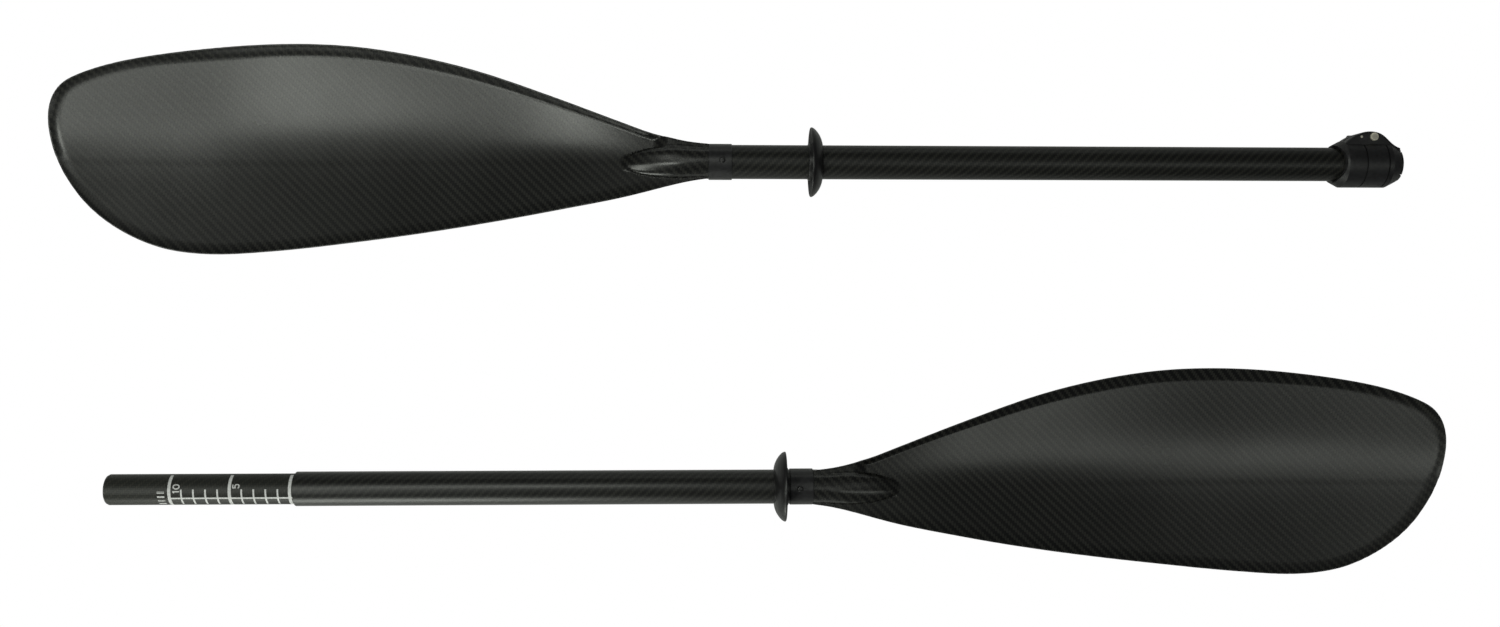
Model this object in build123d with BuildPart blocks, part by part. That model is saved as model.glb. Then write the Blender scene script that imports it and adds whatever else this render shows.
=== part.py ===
"""Two-piece adjustable kayak paddle with wing blades, laid out as two parallel halves.

Frame: millimetres, +Z up. The origin is the centre of the outer half's clamp mouth, on the
outer shaft's axis. +X points out of the mouth, +Y towards the blades' leading edges, and +Z
towards the power faces. The outer half's blade lies towards -X, the inner half's towards +X.
"""
from build123d import *
from math import exp, log, pi, sin
import os

os.makedirs("parts", exist_ok=True)

# ---- driving dimensions: shafts ----
shaft_r = 14.6
bore_r = 12.75
socket_r = 13.08
socket_length = 165.0
gap = 0.05
ferrule_r = 13.0
ferrule_bore_r = 11.4
ferrule_exposed = 156.5
ferrule_bonded = 100.0
outer_shaft_length = 601.5
inner_shaft_length = 439.5
slot_width = 1.6
slot_length = 40.0

# ---- driving dimensions: where the two halves lie ----
outer_neck_x = -outer_shaft_length
inner_neck_x = -511.9
inner_axis_y = -279.5
shoulder_x = inner_neck_x - inner_shaft_length
ferrule_end_x = shoulder_x - ferrule_exposed
twin_shift_x = inner_neck_x + outer_neck_x

# ---- driving dimensions: blades ----
blade_length = 561.2
skin = 1.2
edge_thickness = 2.6
core_thickness = 6.0
core_reach = 0.52
core_gap = 0.5
face_root_z = 4.0
face_low_z = -23.0
sag_end = 400.0
rise_start = 390.0
tip_rise = 20.0
root_twist = 0.16
twist_end = 370.0
trailing_slope = 0.09
leading_slope = 0.13
bend_y = 22.0
bend_softness = 13.0
wall_height = 9.5
wall_width = 18.0
leading_half_width = 100.0
trailing_half_width = 78.0
root_half_width = 15.0

# ---- driving dimensions: blade joint (spigot, collar, snap button) ----
collar_length = 20.0
collar_r = 15.45
spigot_neck_r = 10.5
spigot_neck_length = 38.0
spigot_shaft_length = 60.0
spigot_bore_r = 9.0
spigot_mouth_bore_r = 10.9
button_r = 2.5
button_top_z = 17.3
button_flange_r = 3.6
button_flange_z = 9.1
button_offset = 11.6
spring_width = 6.0
spring_sheet = 0.6

# ---- driving dimensions: clamp ----
clamp_left_x = -57.2
clamp_right_x = -2.1
clamp_r = 20.2
clamp_center_x = -25.1
ear_reach_y = 27.5
ear_z = 12.0
slit = 3.0
bolt_y = 22.8
bolt_r = 2.4
saddle_thickness = 1.0
cam_r = 5.0
cam_offset = 0.5
cam_gap = 0.15
pin_r = 1.5
pin_length = 17.0
eye_r = 4.3
eye_width = 5.8
fork_gap = 6.3
lever_width = 17.0
lever_inner_r = 20.9
lever_outer_r = 24.1
pin_z = -ear_z - gap - saddle_thickness - cam_gap - cam_r - cam_offset

# ---- driving dimensions: drip rings and plugs ----
ring_r = 30.0
ring_hub_r = 17.6
ring_length = 12.9
outer_ring_hub_x = -500.7
inner_ring_hub_x = -545.2
plug_length = 25.0
bung_length = 12.0


def smooth(t):
    """A ramp from 0 to 1 with level ends."""
    t = min(max(t, 0.0), 1.0)
    return t * t * (3.0 - 2.0 * t)


# ---- blade surface: d runs from the neck edge to the tip, v from -1 to +1 across ----
def half_width(d, v):
    """Half width of the blade on the trailing (v < 0) or leading (v > 0) side."""
    if v < 0:
        grow = sin(pi / 2 * min(d / 400.0, 1.0)) ** 1.1
        return root_half_width + (trailing_half_width - root_half_width) * grow
    grow = sin(pi / 2 * min(d / 345.0, 1.0)) ** 1.5
    shrink = 22.0 * (max(d - 345.0, 0.0) / 200.0) ** 2
    return root_half_width + (leading_half_width - root_half_width) * grow - shrink


def face_z(d, v):
    """Height of the power face: it sags, twists, scoops up to a wall and rises to the tip."""
    half = half_width(d, v)
    y = half * v
    z = face_root_z + (face_low_z - face_root_z) * smooth(d / sag_end)
    z += tip_rise * (max(d - rise_start, 0.0) / 160.0) ** 1.5
    z -= root_twist * (1.0 - smooth((d - 40.0) / (twist_end - 40.0))) * y
    scale = half_width(d, 1.0) / leading_half_width
    bend = bend_softness * log(1.0 + exp((y / scale - bend_y) / bend_softness)) * scale
    dish = (trailing_slope + leading_slope) * bend - trailing_slope * y
    tip_fade = 1.0 - 0.8 * smooth((d - 400.0) / 150.0)
    z += dish * smooth(d / 160.0) * tip_fade
    if v > 0:
        near_edge = min(max(1.0 - half * (1.0 - v) / wall_width, 0.0), 1.0)
        wall = wall_height * smooth(d / 60.0) * (1.0 - smooth((d - 400.0) / 130.0))
        z += wall * near_edge**2
    return z


def back_z(d, v):
    """Height of the back face, thickest along the middle of the blade."""
    middle = core_thickness * (1.0 - 0.6 * smooth((d - 150.0) / 350.0))
    return face_z(d, v) - edge_thickness - middle * max(1.0 - v**2, 0.0) ** 2


def blade_outline():
    """The planform in a sketch on the XY plane, drawn about the outer blade."""
    leading = [(0, 15), (50, 25), (90, 39.5), (150, 61.7), (210, 81.2), (270, 94.3), (330, 100.5)]
    far_end = [(390, 99.9), (450, 93.8), (505, 84), (533, 75), (550, 65), (557.5, 54)]
    far_end += [(blade_length, 35), (553, 0), (535, -29)]
    trailing = [(508, -54), (478, -70.5), (440, -79.2), (390, -78.6), (330, -72.9)]
    root = [(250, -62.8), (170, -50.5), (110, -39.1), (50, -26.5), (0, -15)]
    points = [(outer_neck_x - d, y) for d, y in leading + far_end + trailing + root]
    with BuildSketch(mode=Mode.PRIVATE) as outline:
        with BuildLine():
            Spline(*points)
            Line(points[-1], points[0])
        make_face()
    return outline.sketch


def blade_slab(upper, lower, stations, reach):
    """A cambered slab between two heights, lofted through the stations, out to v = reach."""
    across = [reach * (i / 10 - 1) for i in range(21)]
    with BuildPart(mode=Mode.PRIVATE) as slab:
        for d in stations:
            top = [(half_width(d, v) * v, upper(d, v)) for v in across]
            bottom = [(half_width(d, v) * v, lower(d, v)) for v in reversed(across)]
            with BuildSketch(Plane.YZ.offset(outer_neck_x - d)):
                with BuildLine():
                    Spline(*top)
                    Line(top[-1], bottom[0])
                    Spline(*bottom)
                    Line(bottom[-1], top[0])
                make_face()
        loft()
    return slab.part


def blade_skin(upper, lower):
    """One skin of the blade between two heights, trimmed to the planform and to the neck."""
    with BuildPart() as layer:
        add(blade_slab(upper, lower, (2, 60, 120, 190, 260, 330, 400, 470, 520, 572), 1.12))
        with BuildSketch(Plane.XY.offset(-80)):
            add(blade_outline())
        extrude(amount=180, mode=Mode.INTERSECT)
        add(neck_form(gap), mode=Mode.SUBTRACT)
    return layer


def neck_form(grow=0.0):
    """The neck's outside: round at the shaft, a tapered tongue in front and a rib behind."""
    sections = [
        (0, shaft_r, shaft_r - 0.01, 0.01 - shaft_r),
        (35, 14.4, 12.0, -15.5),
        (72, 12.5, 2.4, -16.0),
        (130, 9.5, face_z(130, 0) - 3.8, back_z(130, 0) - 3.5),
        (185, 4.0, face_z(185, 0) - 4.8, back_z(185, 0) - 0.4),
    ]
    with BuildPart(mode=Mode.PRIVATE) as form:
        for d, half, top, bottom in sections:
            with BuildSketch(Plane.YZ.offset(outer_neck_x - d)):
                with Locations((0, (top + bottom) / 2)):
                    Ellipse(half + grow, (top - bottom) / 2 + grow)
        loft()
    return form.part


def face_skin_floor(d, v):
    return face_z(d, v) - skin


def back_skin_ceiling(d, v):
    return back_z(d, v) + skin


def core_ceiling(d, v):
    return face_z(d, v) - skin - core_gap


def core_floor(d, v):
    return back_z(d, v) + skin + core_gap


outer_blade_face_skin = blade_skin(face_z, face_skin_floor)
outer_blade_back_skin = blade_skin(back_skin_ceiling, back_z)

# ---- outer blade core: foam between the skins ----
with BuildPart() as outer_blade_core:
    add(blade_slab(core_ceiling, core_floor, (60, 120, 190, 260, 330, 400, 470, 505), core_reach))
    add(neck_form(gap), mode=Mode.SUBTRACT)

# ---- outer blade neck: solid moulding with a socket for the spigot ----
with BuildPart() as outer_blade_neck:
    add(neck_form())
    with BuildSketch(Plane.YZ.offset(outer_neck_x)):
        Circle(spigot_neck_r + gap)
    extrude(amount=-spigot_neck_length - gap, mode=Mode.SUBTRACT)

# ---- outer neck spigot: stepped tube bonded in the neck, sliding in the shaft ----
button_x = outer_neck_x + button_offset
with BuildPart() as outer_neck_spigot:
    with BuildSketch(Plane.YZ.offset(outer_neck_x)):
        Circle(spigot_neck_r)
    extrude(amount=-spigot_neck_length)
    with BuildSketch(Plane.YZ.offset(outer_neck_x + gap)):
        Circle(bore_r - gap)
    extrude(amount=spigot_shaft_length)
    with BuildSketch(Plane.YZ.offset(outer_neck_x + gap)):
        Circle(spigot_neck_r)
    extrude(amount=-2 * gap)
    with BuildSketch(Plane.YZ.offset(outer_neck_x - spigot_neck_length)):
        Circle(spigot_bore_r)
    extrude(amount=spigot_neck_length + 3.0, mode=Mode.SUBTRACT)
    with BuildSketch(Plane.YZ.offset(outer_neck_x + 3.0)):
        Circle(spigot_mouth_bore_r)
    extrude(amount=spigot_shaft_length, mode=Mode.SUBTRACT)
    with BuildSketch(Plane.XY):
        with Locations((button_x, 0)):
            Circle(button_r + 0.1)
    extrude(amount=shaft_r, mode=Mode.SUBTRACT)

# ---- outer joint collar: reinforcing sleeve on the shaft's end ----
with BuildPart() as outer_joint_collar:
    with BuildSketch(Plane.YZ.offset(outer_neck_x)):
        Circle(collar_r)
        Circle(shaft_r + gap, mode=Mode.SUBTRACT)
    extrude(amount=collar_length)
    rims = outer_joint_collar.edges().filter_by(GeomType.CIRCLE)
    chamfer(rims.filter_by(lambda e: e.radius > collar_r - 0.01), length=0.35)
    with BuildSketch(Plane.XY):
        with Locations((button_x, 0)):
            Circle(button_r + 0.1)
    extrude(amount=collar_r + 1.0, mode=Mode.SUBTRACT)

# ---- outer snap button: domed pin with a retaining flange ----
with BuildPart() as outer_snap_button:
    with BuildSketch(Plane.XY.offset(button_flange_z)):
        with Locations((button_x, 0)):
            Circle(button_flange_r)
    extrude(amount=1.0)
    with BuildSketch(Plane.XY.offset(button_flange_z + 1.0)):
        with Locations((button_x, 0)):
            Circle(button_r)
    extrude(amount=button_top_z - button_flange_z - 1.0)
    fillet(outer_snap_button.faces().sort_by(Axis.Z)[-1].edges(), radius=1.4)

# ---- outer snap spring: bent strip that holds the button out ----
with BuildPart() as outer_snap_spring:
    top_z = button_flange_z - gap - spring_sheet / 2
    with BuildSketch(Plane.XZ):
        with BuildLine() as strip:
            upper = Line((button_x - 5, top_z), (button_x + 6, top_z))
            slope = Line(upper @ 1, (button_x + 26, 3.0))
            bend = ThreePointArc(slope @ 1, (button_x + 29.5, -0.5), (button_x + 26, -4.0))
            Line(bend @ 1, (button_x - 3, -9.6))
        trace(line_width=spring_sheet)
    extrude(amount=spring_width / 2, both=True)

# ---- outer shaft: tube with a clamp socket, slots and the button's hole ----
with BuildPart() as outer_shaft:
    with BuildSketch(Plane.YZ):
        Circle(shaft_r)
        Circle(bore_r, mode=Mode.SUBTRACT)
    extrude(amount=gap - outer_shaft_length)
    with BuildSketch(Plane.YZ):
        Circle(socket_r)
    extrude(amount=-socket_length, mode=Mode.SUBTRACT)
    with BuildSketch(Plane.YZ):
        Rectangle(2 * shaft_r + 2, slot_width, rotation=45)
        Rectangle(2 * shaft_r + 2, slot_width, rotation=-45)
    extrude(amount=-slot_length, mode=Mode.SUBTRACT)
    with BuildSketch(Plane.XY):
        with Locations((button_x, 0)):
            Circle(button_r + 0.1)
    extrude(amount=shaft_r + 1.0, mode=Mode.SUBTRACT)

# ---- outer foam plug: keeps water out of the shaft beyond the socket ----
with BuildPart() as outer_foam_plug:
    with BuildSketch(Plane.YZ.offset(-socket_length - 8.0)):
        Circle(bore_r - gap)
    extrude(amount=-plug_length)

# ---- clamp body: split sleeve with two ears and a scalloped back edge ----
with BuildPart() as clamp_body:
    with BuildSketch(Plane.XY.offset(-ear_z)):
        with BuildLine():
            outline = [(-49.8, 17.4), (-40, 24.5), (-33, 27.1), (-24.6, ear_reach_y)]
            outline += [(-18, 25.6), (-9.6, 18.5), (-1.6, 13.5)]
            Spline(*outline)
            Polyline(outline[-1], (-3.0, 2.0), (-48.0, 2.0), outline[0])
        make_face()
    extrude(amount=2 * ear_z)
    ear_faces = clamp_body.faces().filter_by(Axis.Z)
    fillet(ear_faces.edges().filter_by(GeomType.BSPLINE), radius=1.8)
    with BuildSketch(Plane.XY):
        with BuildLine():
            Polyline(
                (clamp_left_x, shaft_r + gap),
                (clamp_left_x, 16.4),
                (-49.8, clamp_r),
                (-34.8, clamp_r),
                (-34.5, clamp_r - 1.0),
                (-33.9, clamp_r - 1.0),
                (-33.6, clamp_r),
                (-15.6, clamp_r),
                (-15.3, clamp_r - 1.0),
                (-14.7, clamp_r - 1.0),
                (-14.4, clamp_r),
                (-10.7, clamp_r),
                (clamp_right_x, 15.8),
                (clamp_right_x, shaft_r + gap),
                close=True,
            )
        make_face()
    revolve(axis=Axis.X)
    with BuildSketch(Plane.YZ.offset(clamp_left_x - 1.0)):
        Circle(shaft_r + gap)
    extrude(amount=clamp_right_x - clamp_left_x + 2.0, mode=Mode.SUBTRACT)
    with BuildSketch(Plane.XY.offset(2.0)):
        with Locations((clamp_left_x - 20.0, 0)):
            Circle(26.0)
    extrude(amount=clamp_r, mode=Mode.SUBTRACT)
    with BuildSketch(Plane.XY.offset(-slit / 2)):
        with Locations((clamp_center_x - 4.0, 22.0)):
            Rectangle(60.0, 16.0)
    extrude(amount=slit, mode=Mode.SUBTRACT)
    with BuildSketch(Plane.XY.offset(-ear_z - 1.0)):
        with Locations((clamp_center_x, bolt_y)):
            Circle(bolt_r + 0.2)
        with Locations((clamp_center_x - 10.8, bolt_y)):
            Circle(1.1)
    extrude(amount=2 * ear_z + 2.0, mode=Mode.SUBTRACT)

# ---- clamp guide pin: keeps the two ears in line ----
with BuildPart() as clamp_guide_pin:
    with BuildSketch(Plane.XY.offset(0.3 - ear_z)):
        with Locations((clamp_center_x - 10.8, bolt_y)):
            Circle(1.05)
    extrude(amount=2 * ear_z)

# ---- clamp saddle: hard washer that the cam bears on ----
with BuildPart() as clamp_saddle:
    with BuildSketch(Plane.XY.offset(-ear_z - gap - saddle_thickness)):
        with Locations((clamp_center_x, bolt_y)):
            RectangleRounded(lever_width - 2, 8.4, 2.0)
            Circle(bolt_r + 0.2, mode=Mode.SUBTRACT)
    extrude(amount=saddle_thickness)

# ---- clamp bolt: eye bolt through both ears ----
with BuildPart() as clamp_bolt:
    with BuildSketch(Plane.XY.offset(pin_z)):
        with Locations((clamp_center_x, bolt_y)):
            Circle(bolt_r)
    extrude(amount=ear_z + 2.4 - pin_z)
    with BuildSketch(Plane.YZ.offset(clamp_center_x - eye_width / 2)):
        with Locations((bolt_y, pin_z)):
            Circle(eye_r)
    extrude(amount=eye_width)
    with BuildSketch(Plane.YZ.offset(clamp_center_x - eye_width / 2 - 1.0)):
        with Locations((bolt_y, pin_z)):
            Circle(pin_r + gap)
    extrude(amount=eye_width + 2.0, mode=Mode.SUBTRACT)
    with BuildSketch(Plane.XY.offset(ear_z + 1.8)):
        with Locations((clamp_center_x, bolt_y)):
            Rectangle(2 * bolt_r + 1.0, 0.7)
    extrude(amount=1.0, mode=Mode.SUBTRACT)

# ---- clamp nut: round nut on the upper ear ----
with BuildPart() as clamp_nut:
    with BuildSketch(Plane.XY.offset(ear_z + gap)):
        with Locations((clamp_center_x, bolt_y)):
            Circle(3.4)
            Circle(bolt_r + gap, mode=Mode.SUBTRACT)
    extrude(amount=2.0)
    chamfer(clamp_nut.edges().group_by(Axis.Z)[-1].sort_by(SortBy.RADIUS)[-1:], length=0.4)

# ---- clamp lever pin: cross pin through the eye and the lever's fork ----
with BuildPart() as clamp_lever_pin:
    with BuildSketch(Plane.YZ.offset(clamp_center_x - pin_length / 2)):
        with Locations((bolt_y, pin_z)):
            Circle(pin_r)
    extrude(amount=pin_length)

# ---- clamp lever: curved arm that wraps behind the sleeve, with an offset cam ----
with BuildPart() as clamp_lever:
    with BuildSketch(Plane.YZ.offset(clamp_center_x - lever_width / 2)):
        with BuildLine():
            inner = CenterArc((0, 0), lever_inner_r, -48, -80)
            outer = CenterArc((0, 0), lever_outer_r, -48, -77)
            ThreePointArc(inner @ 1, (-14.6, -18.3), outer @ 1)
            Line(inner @ 0, outer @ 0)
        make_face()
        with Locations((bolt_y, pin_z + cam_offset)):
            Circle(cam_r)
        with BuildLine():
            Polyline(
                inner @ 0,
                (18.2, pin_z + 3.2),
                (bolt_y + 1.5, pin_z - 4.6),
                (bolt_y - 3.2, pin_z - 7.4),
                outer @ 0,
                close=True,
            )
        make_face()
    extrude(amount=lever_width)
    with BuildSketch(Plane.YZ.offset(clamp_center_x - fork_gap / 2)):
        with Locations((bolt_y, pin_z)):
            Circle(6.2)
    extrude(amount=fork_gap, mode=Mode.SUBTRACT)
    with BuildSketch(Plane.YZ.offset(clamp_center_x - lever_width / 2 - 1.0)):
        with Locations((bolt_y, pin_z)):
            Circle(pin_r + gap)
    extrude(amount=lever_width + 2.0, mode=Mode.SUBTRACT)


# ---- drip rings: rubber cups that open towards the blade ----
def drip_ring(hub_x, way, axis_y):
    """A cup on the shaft: hub at hub_x, opening along way (+1 or -1)."""
    with BuildPart() as ring:
        with BuildSketch(Plane.XY):
            with BuildLine():
                back = Polyline(
                    (hub_x, shaft_r + gap),
                    (hub_x, ring_hub_r - 0.8),
                    (hub_x + 0.8 * way, ring_hub_r),
                    (hub_x + 4.2 * way, ring_hub_r + 1.2),
                )
                flare = Spline(
                    back @ 1,
                    (hub_x + 7.2 * way, ring_hub_r + 6.5),
                    (hub_x + 9.6 * way, ring_r),
                )
                lip = Polyline(
                    flare @ 1,
                    (hub_x + (ring_length - 0.6) * way, ring_r),
                    (hub_x + ring_length * way, ring_r - 0.8),
                    (hub_x + (ring_length - 0.5) * way, ring_r - 1.8),
                )
                cup = Spline(
                    lip @ 1,
                    (hub_x + 9.6 * way, ring_hub_r + 6.5),
                    (hub_x + 7.6 * way, ring_hub_r + 1.4),
                )
                Polyline(
                    cup @ 1,
                    (hub_x + 10.8 * way, ring_hub_r - 0.9),
                    (hub_x + 10.8 * way, shaft_r + gap),
                    back @ 0,
                )
            make_face()
        revolve(axis=Axis.X)
    if not axis_y:
        return ring
    with BuildPart() as placed:
        with Locations((0, axis_y, 0)):
            add(ring.part)
    return placed


outer_drip_ring = drip_ring(outer_ring_hub_x, -1, 0)
inner_drip_ring = drip_ring(inner_ring_hub_x, 1, inner_axis_y)


# ---- inner half: the blade and its joint are the outer half's, mirrored ----
def twin(piece):
    """The mirror image of an outer piece, in the inner half's place."""
    with BuildPart() as copy:
        with Locations((twin_shift_x, inner_axis_y, 0)):
            add(mirror(piece.part, about=Plane.YZ, mode=Mode.PRIVATE))
    return copy


inner_blade_face_skin = twin(outer_blade_face_skin)
inner_blade_back_skin = twin(outer_blade_back_skin)
inner_blade_core = twin(outer_blade_core)
inner_blade_neck = twin(outer_blade_neck)
inner_neck_spigot = twin(outer_neck_spigot)
inner_joint_collar = twin(outer_joint_collar)
inner_snap_button = twin(outer_snap_button)
inner_snap_spring = twin(outer_snap_spring)


def across_inner_shaft(x):
    """The plane square to the inner shaft at x, facing +X."""
    return Plane(origin=(x, inner_axis_y, 0), x_dir=(0, 1, 0), z_dir=(1, 0, 0))


# ---- inner shaft ----
with BuildPart() as inner_shaft:
    with BuildSketch(across_inner_shaft(shoulder_x)):
        Circle(shaft_r)
        Circle(bore_r, mode=Mode.SUBTRACT)
    extrude(amount=inner_shaft_length - gap)
    with BuildSketch(Plane.XY):
        with Locations((inner_neck_x - button_offset, inner_axis_y)):
            Circle(button_r + 0.1)
    extrude(amount=shaft_r + 1.0, mode=Mode.SUBTRACT)

# ---- ferrule tube: the sliding tongue, bonded in the inner shaft ----
with BuildPart() as ferrule_tube:
    with BuildSketch(across_inner_shaft(ferrule_end_x)):
        Circle(ferrule_r)
    extrude(amount=ferrule_exposed - gap)
    chamfer(ferrule_tube.edges().group_by(Axis.X)[0], length=0.6)
    with BuildSketch(across_inner_shaft(shoulder_x - gap)):
        Circle(bore_r - gap)
    extrude(amount=ferrule_bonded)
    with BuildSketch(across_inner_shaft(ferrule_end_x)):
        Circle(ferrule_bore_r)
    extrude(amount=ferrule_exposed + ferrule_bonded, mode=Mode.SUBTRACT)

# ---- ferrule end bung: closes the ferrule's end ----
with BuildPart() as ferrule_end_bung:
    with BuildSketch(across_inner_shaft(ferrule_end_x - gap)):
        Circle(ferrule_r - 0.8)
    extrude(amount=-0.8)
    with BuildSketch(across_inner_shaft(ferrule_end_x - gap)):
        Circle(ferrule_bore_r - gap)
    extrude(amount=bung_length)

# ---- inner foam plug: behind the bung ----
with BuildPart() as inner_foam_plug:
    with BuildSketch(across_inner_shaft(ferrule_end_x + bung_length + 8.0)):
        Circle(ferrule_bore_r - gap)
    extrude(amount=plug_length)

pieces = {
    "outer_blade_face_skin": outer_blade_face_skin,
    "outer_blade_back_skin": outer_blade_back_skin,
    "outer_blade_core": outer_blade_core,
    "outer_blade_neck": outer_blade_neck,
    "outer_neck_spigot": outer_neck_spigot,
    "outer_joint_collar": outer_joint_collar,
    "outer_snap_button": outer_snap_button,
    "outer_snap_spring": outer_snap_spring,
    "outer_shaft": outer_shaft,
    "outer_foam_plug": outer_foam_plug,
    "outer_drip_ring": outer_drip_ring,
    "clamp_body": clamp_body,
    "clamp_guide_pin": clamp_guide_pin,
    "clamp_saddle": clamp_saddle,
    "clamp_bolt": clamp_bolt,
    "clamp_nut": clamp_nut,
    "clamp_lever_pin": clamp_lever_pin,
    "clamp_lever": clamp_lever,
    "inner_blade_face_skin": inner_blade_face_skin,
    "inner_blade_back_skin": inner_blade_back_skin,
    "inner_blade_core": inner_blade_core,
    "inner_blade_neck": inner_blade_neck,
    "inner_neck_spigot": inner_neck_spigot,
    "inner_joint_collar": inner_joint_collar,
    "inner_snap_button": inner_snap_button,
    "inner_snap_spring": inner_snap_spring,
    "inner_drip_ring": inner_drip_ring,
    "inner_shaft": inner_shaft,
    "ferrule_tube": ferrule_tube,
    "ferrule_end_bung": ferrule_end_bung,
    "inner_foam_plug": inner_foam_plug,
}
for node, piece in pieces.items():
    piece.part.label = node
    export_step(piece.part, f"parts/{node}.step")
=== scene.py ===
"""Looks of a two-piece kayak paddle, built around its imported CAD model.

All places and sizes are in metres in the CAD frame: +X out of the clamp's mouth, +Y towards the
blades' leading edges, +Z towards their power faces.
"""

import math

import bmesh
import bpy
import numpy as np
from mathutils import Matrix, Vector


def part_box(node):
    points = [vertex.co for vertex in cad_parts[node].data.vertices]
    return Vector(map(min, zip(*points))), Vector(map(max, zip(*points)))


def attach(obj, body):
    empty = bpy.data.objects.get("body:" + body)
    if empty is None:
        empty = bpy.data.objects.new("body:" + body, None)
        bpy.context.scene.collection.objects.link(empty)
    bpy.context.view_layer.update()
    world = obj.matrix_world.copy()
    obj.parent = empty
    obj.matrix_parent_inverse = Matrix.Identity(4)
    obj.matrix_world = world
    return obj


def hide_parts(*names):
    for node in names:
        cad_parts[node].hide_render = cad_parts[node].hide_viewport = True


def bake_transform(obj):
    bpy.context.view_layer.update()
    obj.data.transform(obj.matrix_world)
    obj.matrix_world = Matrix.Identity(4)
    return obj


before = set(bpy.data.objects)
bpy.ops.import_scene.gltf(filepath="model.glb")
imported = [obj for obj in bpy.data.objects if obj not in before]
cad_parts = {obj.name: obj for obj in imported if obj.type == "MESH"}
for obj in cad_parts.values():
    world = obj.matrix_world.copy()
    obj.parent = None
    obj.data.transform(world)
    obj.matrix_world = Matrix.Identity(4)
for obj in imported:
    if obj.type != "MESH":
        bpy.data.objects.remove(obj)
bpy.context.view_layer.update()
MM = 0.001

# ---------------------------------------------------------------- places from the frame
outer_shaft_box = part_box("outer_shaft")
inner_shaft_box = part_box("inner_shaft")
ferrule_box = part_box("ferrule_tube")
face_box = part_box("outer_blade_face_skin")
OUTER_NECK_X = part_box("outer_blade_neck")[1].x
INNER_NECK_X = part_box("inner_blade_neck")[0].x
INNER_Y = (ferrule_box[0].y + ferrule_box[1].y) / 2
SHOULDER_X = inner_shaft_box[0].x
SHAFT_R = (outer_shaft_box[1].z - outer_shaft_box[0].z) / 2
FERRULE_R = (ferrule_box[1].z - ferrule_box[0].z) / 2
BLADE_LENGTH = (OUTER_NECK_X - face_box[0].x) / MM


# ---------------------------------------------------------------- mesh helpers
def new_object(name, verts, faces, smooth=True):
    """A mesh object with consistent outward normals."""
    mesh = bpy.data.meshes.new(name)
    mesh.from_pydata([tuple(v) for v in verts], [], [tuple(f) for f in faces])
    work = bmesh.new()
    work.from_mesh(mesh)
    bmesh.ops.remove_doubles(work, verts=work.verts, dist=1e-7)
    bmesh.ops.recalc_face_normals(work, faces=work.faces)
    work.to_mesh(mesh)
    work.free()
    mesh.polygons.foreach_set("use_smooth", [smooth] * len(mesh.polygons))
    obj = bpy.data.objects.new(name, mesh)
    bpy.context.scene.collection.objects.link(obj)
    return obj


def sharpen(obj, degrees=35):
    """Keeps edges crisp where faces meet at more than this angle."""
    obj.data.set_sharp_from_angle(angle=math.radians(degrees))
    return obj


def rounded(points, radius, steps=4):
    """A closed polygon with each corner cut round."""
    out = []
    count = len(points)
    for i, point in enumerate(points):
        here = np.array(point, float)
        before = np.array(points[i - 1], float) - here
        after = np.array(points[(i + 1) % count], float) - here
        reach = min(radius, 0.45 * np.linalg.norm(before), 0.45 * np.linalg.norm(after))
        start = here + before / np.linalg.norm(before) * reach
        end = here + after / np.linalg.norm(after) * reach
        for k in range(steps + 1):
            t = k / steps
            out.append(start * (1 - t) ** 2 + here * 2 * t * (1 - t) + end * t**2)
    return out


def revolve(name, profile, axis_y=0.0, segments=160):
    """A closed ring: the (x, radius) profile turned about the shaft's axis."""
    verts, faces = [], []
    count = len(profile)
    for i in range(segments):
        a = 2 * math.pi * i / segments
        for x, r in profile:
            verts.append((x, axis_y + r * math.cos(a), r * math.sin(a)))
    for i in range(segments):
        j = (i + 1) % segments
        for k in range(count):
            n = (k + 1) % count
            faces.append((i * count + k, i * count + n, j * count + n, j * count + k))
    return sharpen(new_object(name, verts, faces), 30)


def fine_steps(points, step=0.6):
    """A polyline in millimetres with extra points between its own."""
    out = [np.array(points[0], float)]
    for a, b in zip(points[:-1], points[1:]):
        a, b = np.array(a, float), np.array(b, float)
        count = max(int(np.ceil(np.linalg.norm(b - a) / step)), 1)
        out += [a + (b - a) * k / count for k in range(1, count + 1)]
    return out


def two_sheets(rows, columns):
    """The vertex numbers of a grid, and the faces of it and of a second, turned-over grid after it."""
    index = np.arange(rows * columns).reshape(rows, columns)
    a, b, c, e = index[:-1, :-1], index[:-1, 1:], index[1:, 1:], index[1:, :-1]
    quads = np.stack([a, b, c, e], axis=2).reshape(-1, 4)
    return index, quads.tolist() + (quads[:, ::-1] + index.size).tolist()


# ---------------------------------------------------------------- blade shape, in millimetres
def smooth(t):
    """A step from 0 to 1 with soft ends, while t goes from 0 to 1."""
    t = np.clip(t, 0.0, 1.0)
    return t * t * (3.0 - 2.0 * t)


def spline(points, samples):
    """A natural cubic spline through points, spaced by chord length."""
    p = np.array(points, float)
    t = np.concatenate([[0], np.cumsum(np.linalg.norm(np.diff(p, axis=0), axis=1))])
    h = np.diff(t)
    n = len(p)
    a = np.eye(n)
    b = np.zeros_like(p)
    for i in range(1, n - 1):
        a[i, i - 1 : i + 2] = h[i - 1], 2 * (h[i - 1] + h[i]), h[i]
        b[i] = 6 * ((p[i + 1] - p[i]) / h[i] - (p[i] - p[i - 1]) / h[i - 1])
    m = np.linalg.solve(a, b)
    s = np.linspace(0, t[-1], samples)
    k = np.clip(np.searchsorted(t, s, side="right") - 1, 0, n - 2)
    u = (s - t[k])[:, None]
    w = (t[k + 1] - s)[:, None]
    hk = h[k][:, None]
    curve = m[k] * w**3 / (6 * hk) + m[k + 1] * u**3 / (6 * hk)
    curve += (p[k] / hk - m[k] * hk / 6) * w + (p[k + 1] / hk - m[k + 1] * hk / 6) * u
    return curve


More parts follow.
